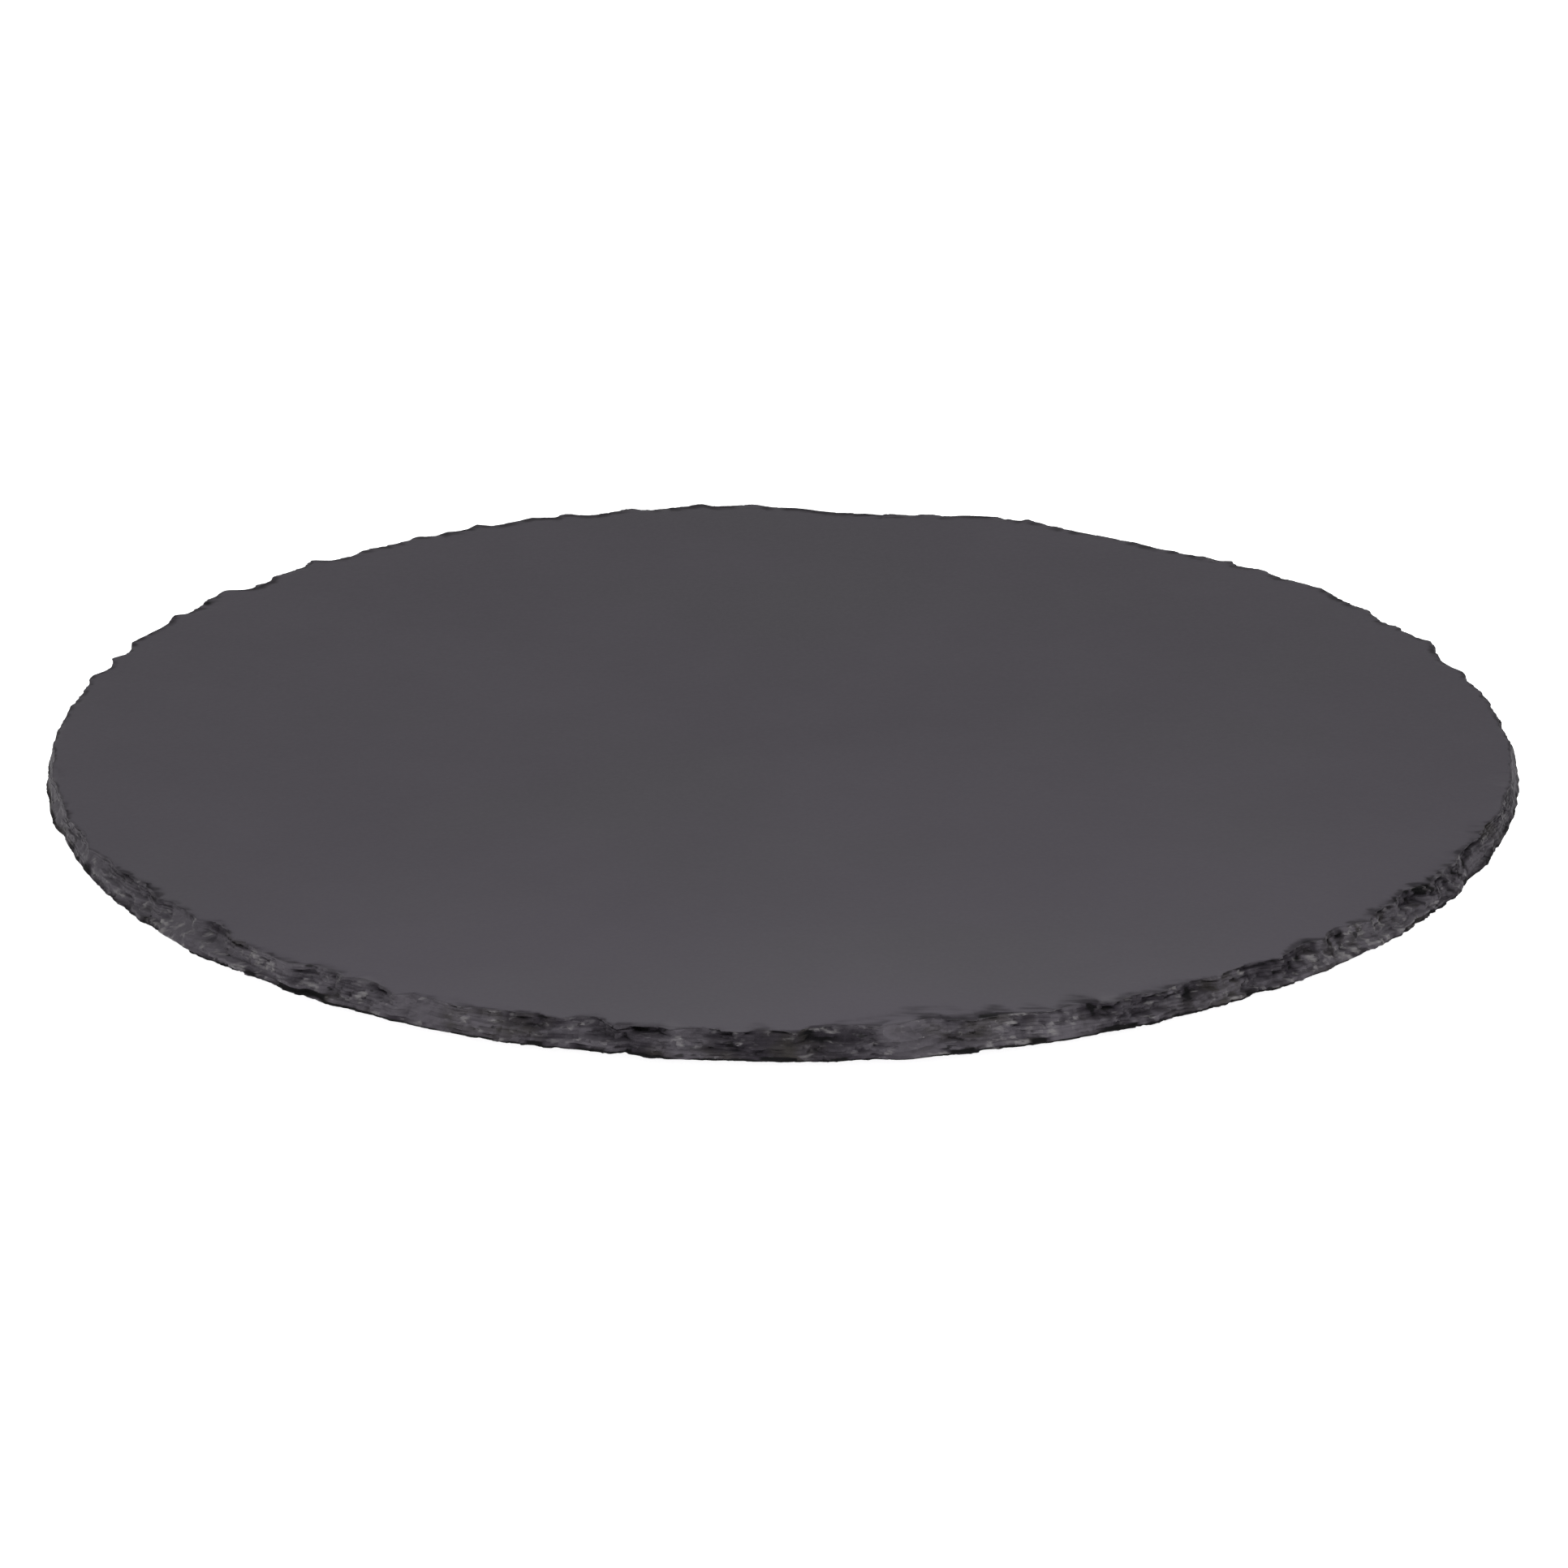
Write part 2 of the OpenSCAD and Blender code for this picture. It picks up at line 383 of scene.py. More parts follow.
both_rows = np.repeat(np.arange(LAYERS), 2)
rim_r = smooth_r + stepped * (layer_r[both_rows] - smooth_r)
rim_r -= bites[both_rows] * (0.45 + 0.55 * stepped) * (1 - 0.5 * calm)
rim_r += np.minimum(ragged, FACET_OUT) * (0.25 + 0.75 * stepped)

# The lower part of the stone stands out fuller in some places, and is cut back in others:
# middle in degrees, half length and amount in millimetres
swell = np.zeros(RIM_COLUMNS)
for middle, half, amount in (
    (5.5, 5, -0.5), (173, 13, 0.9), (196.5, 7, -0.7), (201.5, 12, -0.45), (220, 6, 0.3),
    (222, 8, 0.65), (229, 5, -0.8), (255, 12, -0.45), (259, 4, -0.9), (267, 5, -0.25),
    (270, 200, 0.15), (273.5, 4, 0.7), (278, 7, 0.35), (280, 8, 0.4), (283, 4, 0.6), (290, 14, 0.3),
    (302, 75, 0.2), (307, 4, -0.6), (311, 7, 0.2), (313, 7, 0.3), (322, 12, 0.6), (327, 5, 0.7),
    (330.5, 9, 0.65), (336, 5, -0.9), (337, 10, 0.35), (346, 7, -0.15),
):
    swell += bite_shape(math.radians(middle), half / 1000, blunt=1.5) * amount / 1000
height_share = np.array(row_shares)[:, None]
rim_r += swell * (1 - height_share ** 2)
# Nowhere does it reach past the frame's stone, or in to the field.
BOX_CLEAR = 0.00002
FIELD_CLEAR = 0.003
reach_x = np.where(np.cos(angles) > 0, stone_high.x, -stone_low.x) - BOX_CLEAR
reach_y = np.where(np.sin(angles) > 0, stone_high.y, -stone_low.y) - BOX_CLEAR
furthest_r = np.minimum(
    reach_x / np.abs(np.cos(angles)).clip(0.01), reach_y / np.abs(np.sin(angles)).clip(0.01)
)
rim_r = np.clip(rim_r, FIELD_R + FIELD_CLEAR, furthest_r)

# Both faces of the stone have a slight relief, cut into its thickness, of broad swells and of
# narrower ones that run a little longer from front to back.
BROAD_SIZE = 0.055
NARROW_SIZE = (0.013, 0.02)


def relief(places, broad, narrow, seed):
    """Depth of the natural split surface under each place, in metres."""
    narrow_x, narrow_y = NARROW_SIZE
    return np.array([
        broad * (0.5 + 0.9 * noise.noise(Vector((x / BROAD_SIZE, y / BROAD_SIZE, seed))))
        + narrow * (0.5 + 0.9 * noise.noise(Vector((x / narrow_x, y / narrow_y, seed + 7))))
        for x, y in places
    ]).clip(0)


points = np.empty(len(stone.data.vertices) * 3)
stone.data.vertices.foreach_get("co", points)
points = points.reshape(-1, 3)
radii = np.hypot(points[:, 0], points[:, 1])
turns = np.arctan2(points[:, 1], points[:, 0]) / (2 * math.pi)
columns = np.rint(turns * RIM_COLUMNS).astype(int) % RIM_COLUMNS
rows = np.abs(points[:, 2, None] - np.array(row_heights)).argmin(axis=1)
share_up = np.array(row_shares)[rows]
on_wall = radii > BLANK_R - RING_CLEAR
on_ring = ~on_wall & (radii > FIELD_R - RING_CLEAR)
on_top = share_up == 1

out_share = np.clip((radii - FIELD_R) / (BLANK_R - FIELD_R), 0, 1)
edge_r = rim_r[rows, columns]
ring_r = FIELD_R + (edge_r - FIELD_R) * out_share
new_r = np.where(on_wall, edge_r, np.where(on_ring, ring_r, radii))
points[:, :2] *= (new_r / radii.clip(1e-9))[:, None]

# On the underside the relief dies away under the feet, which need a flat seat.
FEET = ("front_left", "front_right", "back_left", "back_right")
foot_middles = []
for corner in FEET:
    low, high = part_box("foot_" + corner)
    foot_middles.append(((low + high) / 2).xy)
FOOT_CLEAR = 0.008
FOOT_FADE = 0.012
top_depth = relief(points[:, :2], broad=0.00009, narrow=0.00004, seed=3.0)
under_depth = relief(points[:, :2], broad=0.00014, narrow=0.00008, seed=60.0)
for middle in foot_middles:
    away = np.hypot(points[:, 0] - middle.x, points[:, 1] - middle.y)
    under_depth *= np.clip((away - FOOT_CLEAR) / FOOT_FADE, 0, 1)

# Shallow flakes have come off the top face along its edge. Each has its middle in degrees,
# its half length and its reach in from the edge in millimetres, its depth in hundredths of a
# millimetre, and how much darker it leaves the stone, less than nothing where it is paler. A
# later flake covers an earlier one.
flakes = [
    (283.5, 4, 3.2, 22.4, -0.3), (291, 6, 3, 16.8, 0.35), (275, 7, 2.2, 19.6, 0.3),
    (266, 5, 1.8, 16.8, 0.2), (257, 8, 2, 19.6, 0.25), (249, 7, 1.8, 16.8, 0.35),
    (238, 4, 2.4, 19.6, -0.25), (229, 6, 2.6, 22.4, 0.3), (222, 4, 2.6, 16.8, 0.6),
    (195.6, 3, 2.6, 14, 0.5), (213, 5, 2.8, 19.6, 0.55), (208, 4, 3, 16.8, 0.55),
    (300, 5, 2, 19.6, 0.35), (305.5, 4, 2.4, 16.8, -0.25), (313, 6, 2, 16.8, 0.3),
    (324, 5, 2.6, 19.6, 0.35), (331, 4, 2.4, 16.8, 0.3), (352, 4, 5.5, 11.2, -0.2),
    (135, 5, 3, 22.4, 0.3), (146.5, 8, 3.4, 22.4, 0.25), (101, 6, 2, 14, 0.2),
    (120, 5, 2, 16.8, 0.15), (45, 15, 1.6, 14, -0.2), (72, 5, 2.2, 16.8, 0.2),
    (19, 5, 2.4, 16.8, 0.2), (170, 6, 2.4, 16.8, 0.25), (187, 5, 2.6, 16.8, 0.3),
    (277, 9, 6, 11.2, 0.3), (282, 14, 8, 11.2, 0.3), (286, 4, 6, 16.8, 0.5),
    (291, 10, 5.5, 14, 0.4), (295, 3, 5, 16.8, -0.3), (299, 8, 4.5, 16.8, 0.35),
    (268, 3, 4, 14, 0.25), (262, 3, 4.5, 14, -0.2), (258, 3, 3, 14, 0.3), (234, 5, 4, 16.8, 0.25),
    (245, 6, 3, 16.8, 0.3), (334, 6, 4, 16.8, 0.2), (329, 9, 2.6, 11.2, 0.35),
    (340, 7, 2, 11.2, 0.25), (341, 5, 5, 14, 0.2), (347, 4, 3, 14, -0.2), (178, 9, 1.6, 11.2, -0.4),
    (187, 6, 1.5, 11.2, -0.35), (170, 6, 1.4, 11.2, -0.3), (2, 6, 1.2, 11.2, -0.25),
]
STRAY_FLAKES = 90
for flake in range(STRAY_FLAKES):
    flakes.append((
        chance.uniform(0, 360),
        chance.uniform(0.8, 4),
        0.4 + 1.8 * chance.random() ** 2,
        chance.uniform(4.2, 16.8),
        chance.uniform(-0.35, 0.45),
    ))
FRAY_SIZE = 0.006
from_edge = edge_r - new_r
frayed = 0.85 + 0.9 * waver(FRAY_SIZE, seed=171.0)[0]
flake_depth = np.zeros(len(points))
flake_tone = np.zeros(len(points))
for middle, half, reach, depth, darker in flakes:
    shape = frayed * bite_shape(math.radians(middle), half / 1000, blunt=0.7)
    reach_here = shape[columns] * reach / 1000
    within = np.clip(1.5 * (1 - from_edge / reach_here.clip(1e-9)), 0, 1) * on_top
    flake_depth = np.maximum(flake_depth, within * depth / 100000)
    flake_tone = np.where(within > 0, flake_tone * (1 - within) + darker * within, flake_tone)
top_depth += flake_depth

# The layers wander up and down between the two faces, in long waves and in short ones.
LONG_WAVE, LONG_WAVE_RISE = 0.035, 0.0008
SHORT_WAVE, SHORT_WAVE_RISE = 0.005, 0.0003
wander = (
    LONG_WAVE_RISE * waver(LONG_WAVE, seed=44.0, heights=heights_above)
    + SHORT_WAVE_RISE * waver(SHORT_WAVE, seed=48.0, heights=heights_above)
) * np.sin(height_share * math.pi)
points[:, 2] = (
    (stone_low.z + under_depth) * (1 - share_up)
    + (stone_high.z - top_depth) * share_up
    + np.where(on_wall, wander[rows, columns], 0)
)
stone.data.vertices.foreach_set("co", points.ravel())


def spread(values, across, up):
    """Each value of the rim averaged with its neighbours."""
    turned = [np.roll(values, step, axis=1) for step in range(-across, across + 1)]
    padded = np.pad(sum(turned) / len(turned), ((up, up), (0, 0)), mode="edge")
    return sum(padded[step:step + len(values)] for step in range(2 * up + 1)) / (2 * up + 1)


# What the finish needs to know of each place on the rim: where it is hollow, how dark the break
# is painted, partly its own tone and partly painted shade, and where the tool has bruised it pale.
# A hollow of this depth gets the full painted shade of a cleft.
HOLLOW_DEPTH = 0.0005
around_r = spread(rim_r, across=5, up=3)
# The bevel's own slope isn't a hollow.
evened_r = spread(rim_r, across=60, up=0)
slope = evened_r - spread(evened_r, across=0, up=3)
hollow = np.clip((around_r + slope - rim_r) / HOLLOW_DEPTH, 0, 1)

# Dark patches of the break, each across part of its height, and paler ones, whose amount is
# less than nothing; partly the stone's own tone, and partly painted shade on risers and facets
# turned from the light and painted light on those turned to it, with the painted shade darkest
# along the front: middle in degrees, half length in millimetres, lower and upper end as shares
# of the thickness, amount
PATCH_FADE_SHARE = 0.12
DARK_PATCH_SHARE = 0.6
PALE_PATCH_SHARE = 0.9
patches = np.zeros((ROWS, RIM_COLUMNS))
for middle, half, low_share, high_share, amount in (
    (191, 20, 0.1, 1, -0.4), (195.6, 2.5, 0.8, 1, 0.8), (198, 8, 0.3, 0.7, 0.1),
    (205, 20, 0, 0.4, -0.4), (209, 4, 0.8, 1, 0.8), (212, 9, 0.75, 1, 0.25),
    (214, 3.5, 0.8, 1, 0.9), (218, 8, 0, 0.35, -0.3), (218.5, 2, 0.8, 1, 0.8),
    (219, 32, 0, 0.7, -0.5), (222, 4, 0.8, 1, 1.0), (224.8, 3, 0.7, 1, 0.5),
    (225.5, 4, 0.75, 1, 0.9), (227, 12, 0, 1, -0.35), (228, 4, 0.1, 0.6, -0.3),
    (239, 5, 0.8, 1, 0.7), (239, 10, 0, 0.45, 0.4), (239.3, 3, 0.75, 1, 0.5),
    (245.6, 6, 0, 0.3, 0.6), (248, 5, 0.8, 1, 0.6), (251, 10, 0.68, 0.95, 0.45),
    (251, 11, 0, 0.45, 0.8), (253, 4, 0.8, 1, 0.6), (258, 6, 0, 0.4, 0.45),
    (259.7, 6, 0.4, 0.9, 0.4), (262, 34, 0, 1, 0.5), (268, 8, 0, 0.35, 0.5), (270, 15, 0, 1, 0.55),
    (271.5, 2, 0.1, 0.6, -0.35), (273.6, 9, 0.58, 0.84, 0.45), (275, 13, 0, 0.45, 0.6),
    (279.5, 6, 0.3, 1, -0.25), (282, 11, 0.3, 1, 0.35), (286, 14, 0, 0.7, -0.25),
    (291.5, 2, 0.4, 0.7, -0.4), (293.3, 6, 0.78, 1, 0.5), (295, 12, 0.7, 1, 0.2),
    (296.4, 2, 0.3, 0.6, -0.4), (297.8, 5, 0.6, 0.92, 0.5), (298, 11, 0, 0.4, 0.6),
    (298, 36, 0.55, 1, 0.5), (301.3, 4, 0.5, 1, 0.45), (308, 7, 0.4, 0.75, 0.4),
    (309, 8, 0, 0.3, -0.2), (311, 13, 0, 1, 0.4), (312, 12, 0.7, 1, 0.3), (316.5, 7, 0, 0.4, -0.35),
    (321.6, 4, 0.4, 0.7, 0.2), (322, 2, 0.6, 0.8, -0.4), (322.5, 3, 0.7, 1, 0.7),
    (323, 14, 0.3, 0.8, -0.35), (327, 3, 0.4, 0.75, 0.4), (328, 2, 0.75, 0.95, 1.2),
    (329, 12, 0.7, 1, 0.4), (330.4, 5, 0.3, 1, 0.35), (335, 12, 0.2, 0.6, 0.5),
    (336, 13, 0.6, 1, 1.1), (338, 14, 0, 0.4, -0.2), (341, 8, 0.6, 1, 0.5), (347, 17, 0.1, 1, 1.0),
):
    shape = bite_shape(math.radians(middle), half / 1000, blunt=0.6)
    above_low = np.clip((height_share - low_share) / PATCH_FADE_SHARE + 1, 0, 1)
    under_high = np.clip((high_share - height_share) / PATCH_FADE_SHARE + 1, 0, 1)
    strength = DARK_PATCH_SHARE if amount > 0 else PALE_PATCH_SHARE
    patches += strength * amount * shape * above_low * under_high
BLOTCH_SIZE = 0.008
blotches = 1.2 * waver(BLOTCH_SIZE, seed=131.0, flatten=1.6, heights=heights_above)
# Each facet is painted darker or paler by its tilt: painted shade.
blotches += 0.55 * large_tilt_shade + 0.5 * small_tilt_shade
# The break is painted darkest a little under the top face, painted shade of the steep risers
# there, and palest above the lip and at its top.
SHADE_HEIGHT_SHARES = (0, 0.2, 0.5, 0.8, 0.93, 1)
HEIGHT_SHADES = (0.3, 0.14, 0.26, 0.4, 0.26, 0.06)
by_height = np.interp(height_share, SHADE_HEIGHT_SHARES, HEIGHT_SHADES)
# Painted shade in the hollows is added here to the break's own tone.
shade = by_height + patches + blotches * (1 - 0.6 * calm) * 0.38 + hollow * 0.45 - 0.1 * calm
# The break is finer, and its tones stand further apart, at the right of the front.
RIGHT_FRONT = math.radians(326)
SPECKLE_SIZE = 0.0014
speckled = bite_shape(RIGHT_FRONT, 0.055, blunt=0.7)
speckled += 0.5 * bite_shape(math.radians(298), 0.03, blunt=0.7)
shade += 1.5 * speckled * waver(SPECKLE_SIZE, seed=187.0, heights=heights_above)
# The lip is a thin black line of painted shade under its undercut, thicker here and there, and
# fainter at the left and at the right of the front.
LIP_BREAK_SIZE = 0.005
LIP_THICK_SIZE = 0.006
lip_dark = 1 - 0.25 * bite_shape(math.radians(205), 0.055, blunt=1)
lip_dark -= 0.35 * bite_shape(math.radians(318), 0.03, blunt=1)
shade[:2] = 1.9 * np.clip(1.1 + 1.7 * waver(LIP_BREAK_SIZE, seed=151.0)[0], 0.3, 1) * lip_dark
thick = np.clip(0.35 + 2.6 * waver(LIP_THICK_SIZE, seed=157.0)[0], 0, 1) * lip_dark
shade[2:4] = np.maximum(shade[2:4], 1.7 * thick)
# At the board's left and right ends the very outside of the break is a dark, uneven line of
# painted shade too, and the stone above it is a little paler.
END_LINE_WIDTH = 0.0006
END_LINE_FADE = 0.0004
END_PALE_FADE = 0.0003
END_LINE_SIZE = 0.004
ends = np.clip(12 * (np.abs(np.cos(angles)) - 0.82), 0, 1)
from_outside = rim_r.max(axis=0) - rim_r
end_line = ends * np.clip(0.85 + 2 * waver(END_LINE_SIZE, seed=193.0)[0], 0.3, 1)
in_line = np.clip((END_LINE_WIDTH - from_outside) / END_LINE_FADE, 0, 1)
past_line = np.clip((from_outside - END_LINE_WIDTH) / END_PALE_FADE, 0, 1)
shade = np.maximum(shade, 1.5 * end_line * in_line)
shade -= 0.15 * ends * past_line
BRUISE_SIZE = 0.012
bruise = 0.45 - by_height - patches - 0.8 * hollow - 0.8 * calm
bruise = np.clip(bruise + 0.9 * waver(BRUISE_SIZE, seed=163.0)[0], 0, 1)

# A dark margin runs round both faces, partly wear and partly painted shade where the edge
# turns from the light: a strong line at the back, and a faint one at the front, wider where
# wear and painted shade reach further in, and where it is crumbled at the right.
MARGIN_WIDTH = 0.0007
BACK_MARGIN_MORE = 0.0028
WORN_SHADED_MARGIN_MORE = 0.0018
CRUMBLED_MARGIN_MORE = 0.0008
LONG_MARGIN_SIZE = 0.009
SHORT_MARGIN_SIZE = 0.0028
WEAR_AND_SHADE_SIZE = 0.014
CRUMB_SIZE = 0.0024
back = np.clip(0.5 + 1.2 * np.sin(angles), 0, 1)
margin = 0.5 + 0.2 * back + 1.7 * waver(LONG_MARGIN_SIZE, seed=91.0)[0]
margin = np.clip(margin + 1.3 * waver(SHORT_MARGIN_SIZE, seed=93.0)[0], 0.05, 1)
front_wear_and_shade = np.clip(0.3 + 1.8 * waver(WEAR_AND_SHADE_SIZE, seed=95.0)[0], 0, 1)
front_wear_and_shade *= np.clip(-3 * np.sin(angles) - 1, 0, 1)
crumbled = bite_shape(RIGHT_FRONT, 0.05, blunt=0.7)
margin_width = (
    MARGIN_WIDTH + BACK_MARGIN_MORE * np.sin(angles).clip(0)
    + WORN_SHADED_MARGIN_MORE * front_wear_and_shade + CRUMBLED_MARGIN_MORE * crumbled
)
margin_strength = margin * (0.2 + 0.7 * back) + 0.4 * front_wear_and_shade
margin_strength += 0.6 * crumbled * np.clip(0.2 + 2 * waver(CRUMB_SIZE, seed=189.0)[0], 0, 1)
inside = from_edge / margin_width[columns]
margin_mark = np.clip(2 - 2 * inside, 0, 1) * margin_strength[columns] + 1.3 * flake_tone.clip(0)
shade[-1] = np.maximum(shade[-1], margin_strength * 0.9)
marks = {
    "break": np.where(on_wall, 1.0, 0.0),
    "under": np.where(on_wall | on_top, 0.0, 1.0),
    "margin": margin_mark,
    "shade": np.where(on_wall, shade[rows, columns], margin_mark),
    "bruise": np.where(on_wall, bruise[rows, columns], -flake_tone.clip(-1, 0)),
}
for mark, values in marks.items():
    attribute = stone.data.attributes.new(mark, "FLOAT", "POINT")
    attribute.data.foreach_set("value", values.astype(np.float32))

bpy.ops.object.shade_smooth_by_angle(angle=math.radians(38))


class Wire:
    """An output of a material's node. Arithmetic on wires adds Math nodes."""

    def __init__(self, socket):
        self.socket = socket

    def node(self, kind, settings, sockets, output=0):
        """Adds a node: its settings first, and then the value or the wire of each socket."""
        tree = self.socket.id_data
        added = tree.nodes.new(kind)
        for name, value in settings.items():
            setattr(added, name, value)
        for name, value in sockets.items():
            if isinstance(value, Wire):
                tree.links.new(value.socket, added.inputs[name])
            else:
                added.inputs[name].default_value = value
        return Wire(added.outputs[output])

    def math(self, operation, *terms):
        return self.node("ShaderNodeMath", {"operation": operation}, dict(enumerate(terms)))

    def __add__(self, other):
        return self.math("ADD", self, other)

    def __radd__(self, other):
        return self.math("ADD", other, self)

    def __sub__(self, other):
        return self.math("SUBTRACT", self, other)

    def __rsub__(self, other):
        return self.math("SUBTRACT", other, self)

    def __mul__(self, other):
        return self.math("MULTIPLY", self, other)

    def __rmul__(self, other):
        return self.math("MULTIPLY", other, self)

    def rise(self, low, high):
        """0 below low, 1 above high, and smooth between them."""
        return self.node(
            "ShaderNodeMapRange",
            {"interpolation_type": "SMOOTHSTEP"},
            {"Value": self, "From Min": low, "From Max": high},
        )

    def stretched(self, scale, turn=0.0):
        """These coordinates, scaled along each axis and turned about Z."""
        return self.node(
            "ShaderNodeMapping", {}, {"Vector": self, "Scale": scale, "Rotation": (0, 0, turn)}
        )

    def grain(self, size, detail=2.0, roughness=0.5):
        """Noise at these coordinates, from 0 to 1, with spots of that size in metres."""
        return self.node(
            "ShaderNodeTexNoise",
            {},
            {"Vector": self, "Scale": 1 / size, "Detail": detail, "Roughness": roughness},
        )

    def blend(self, plain, other):
        """A colour that goes from plain to other as this goes from 0 to 1."""
        return self.node(
            "ShaderNodeMix", {"data_type": "RGBA"}, {0: self, 6: plain, 7: other}, output=2
        )


def new_finish(name, **fixed):
    """A new material: itself, its shader with the fixed values set, and its coordinates."""
    material = bpy.data.materials.new(name)
    material.use_nodes = True
    shader = material.node_tree.nodes["Principled BSDF"]
    for socket, value in fixed.items():
        shader.inputs[socket.replace("_", " ")].default_value = value
    place = Wire(material.node_tree.nodes.new("ShaderNodeTexCoord").outputs["Object"])
    return material, shader, place


def feed(shader, **wires):
    """Links each wire to the shader's socket of that name."""
    for socket, wire in wires.items():
        shader.id_data.links.new(wire.socket, shader.inputs[socket.replace("_", " ")])


def mark_wire(place, mark):
    """The value that the mesh holds under that name."""
    return place.node("ShaderNodeAttribute", {"attribute_name": mark}, {}, output=2)


# The stone's finish: matt grey with a breath of purple on the split faces. Where it is broken
# across its layers it is painted darker, partly its own tone and partly painted shade of the
# steep break, near black with painted shade in the clefts, and pale where the tool bruised it.
SLATE_DEEP = (0.0480, 0.0430, 0.0525, 1)
SLATE_FAIR = (0.0580, 0.0525, 0.0630, 1)
SLATE_GREEN = (0.0515, 0.0500, 0.0540, 1)
SLATE_DUSTY = (0.088, 0.083, 0.090, 1)
LEDGE_GREY = (0.0560, 0.0508, 0.0595, 1)
BREAK_DARK = (0.0160, 0.0136, 0.0176, 1)
BREAK_BROWN = (0.0200, 0.0178, 0.0165, 1)
BREAK_BLACK = (0.0022, 0.0020, 0.0024, 1)
BREAK_PALE = (0.128, 0.122, 0.125, 1)
# Below, the spots of each grain are in metres, and a turn is in radians.
slate, shader, place = new_finish("split_slate", Specular_IOR_Level=0.16)
break_wire = mark_wire(place, "break")
margin_wire = mark_wire(place, "margin")
shade_wire = mark_wire(place, "shade")
bruise_wire = mark_wire(place, "bruise")
under_wire = mark_wire(place, "under")

clouds = place.grain(0.06, detail=3)
drift = place.grain(0.017, detail=3, roughness=0.55)
specks = place.grain(0.0009, detail=3, roughness=0.6)
tone = (clouds - 0.5) * 0.7 + (drift - 0.5) * 0.4 + (specks - 0.5) * 0.4 + 0.5
face = tone.rise(0, 1).blend(SLATE_DEEP, SLATE_FAIR)
green_share = place.stretched((1, 1, 1), turn=1.1).grain(0.08).rise(0.45, 0.75) * 0.4
face = green_share.blend(face, SLATE_GREEN)
# The underside is left as it split, in low terraces, with dust in its grain.
TERRACES = 11
GRAIN_TURN = 0.3
levels = place.stretched((0.55, 1, 1), GRAIN_TURN).grain(0.034, detail=4, roughness=0.55) * TERRACES
terraces = levels.math("FLOOR", levels)
dust = place.stretched((0.4, 1, 1), GRAIN_TURN).grain(0.0045, detail=5, roughness=0.65).rise(0.5, 0.72)
face = (under_wire * dust * 0.5).blend(face, SLATE_DUSTY)

# The break is a mosaic of small chips, drawn out along the grain, with wavering borders.
CHIP_SIZE = 0.0009
WOBBLE_SIZE = 1 / 900
flat = place.stretched((0.5, 1, 1.15))
rough_grain = flat.grain(0.0016, detail=4, roughness=0.6)
blotch = flat.grain(0.0036, detail=3)
wobble = place.node(
    "ShaderNodeTexNoise", {}, {"Vector": place, "Scale": 1 / WOBBLE_SIZE, "Detail": 2}, output=1
)
wobble = wobble.node(
    "ShaderNodeVectorMath", {"operation": "MULTIPLY_ADD"}, {0: wobble, 1: (CHIP_SIZE,) * 3, 2: flat}
)
chips = wobble.node("ShaderNodeTexVoronoi", {}, {"Vector": wobble, "Scale": 1 / CHIP_SIZE}, output=1)
chips = chips.node("ShaderNodeSeparateColor", {}, {"Color": chips})
dark_share = (
    shade_wire + (0.5 - rough_grain) * 0.4 + (0.5 - blotch) * 0.85 + (0.5 - chips) * 0.4
).rise(-0.2, 1.15)
flecks = flat.grain(0.0017, detail=2, roughness=0.45)
pale_share = (
    flecks * 1.5 + chips * 0.2 + bruise_wire * 0.25 + (rough_grain - 0.5) * 0.4
).rise(0.98, 1.34)
brown_share = place.grain(0.011).rise(0.5, 0.7)
edge = dark_share.blend(LEDGE_GREY, brown_share.blend(BREAK_DARK, BREAK_BROWN))
edge = (pale_share * 0.85).blend(edge, BREAK_PALE)
# Where the shade mark is deepest, at the lip, the ends and in the clefts, the break is painted black:
# painted shade.
edge = (shade_wire + (0.5 - rough_grain) * 0.7).rise(1.1, 1.6).blend(edge, BREAK_BLACK)
# Small pits, dented by the bump, are painted near black: painted shade in them.
pits = place.stretched((0.45, 1, 1.2)).grain(0.0018).rise(0.66, 0.74)
edge = (pits * 0.8).blend(edge, BREAK_BLACK)
streaks = place.stretched((0.25, 1, 1)).grain(0.0017, detail=2, roughness=0.4)
# The margin is partly wear and partly painted shade; at its strongest, at the back, it is a black line of
# painted shade.
worn_and_shaded = (margin_wire * (1 + (streaks - 0.5) * 5 + (0.5 - rough_grain) * 0.6)).rise(0.0, 0.95)
face = (worn_and_shaded * 0.9).blend(face, BREAK_DARK)
face = (margin_wire + (0.5 - rough_grain) * 0.6 * margin_wire).rise(0.8, 1.3).blend(face, BREAK_BLACK)
face = (bruise_wire * (rough_grain.rise(0.4, 0.65) * 0.7 + 0.3) * 0.5).blend(face, BREAK_PALE)
colour = break_wire.rise(0.3, 0.9).blend(face, edge)

# Dark breaks are duller, so that they stay dark where the light grazes them.
gloss = 0.72 + (specks - 0.5) * 0.2 - break_wire * (rough_grain - 0.4) * 0.3
gloss = gloss + shade_wire.rise(0.6, 1.3) * 0.35
face_height = specks * 0.35 + place.grain(0.0025, detail=4, roughness=0.6) * 0.6
face_height = face_height + under_wire * (terraces * 1.2 + dust * 0.5)
edge_height = rough_grain * 1.2 + blotch * 1.2 - pits * 0.8
slate_height = face_height * (1 - break_wire) + edge_height * break_wire * 2.5
bump = slate_height.node(
    "ShaderNodeBump", {}, {"Strength": 0.6, "Distance": 0.0001, "Height": slate_height}
)
feed(shader, Base_Color=colour, Roughness=gloss, Normal=bump)
stone.data.materials.append(slate)
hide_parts("slate_board")
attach(stone, "root")

# The rubber feet
# Four small discs of black rubber under the stone, so that it neither slides on the table nor
# scratches it. Each is moulded, with a rounded lower edge and a shallow ring round its middle
# that grips the table, and is stuck on from below.
DISC_POINTS = 96
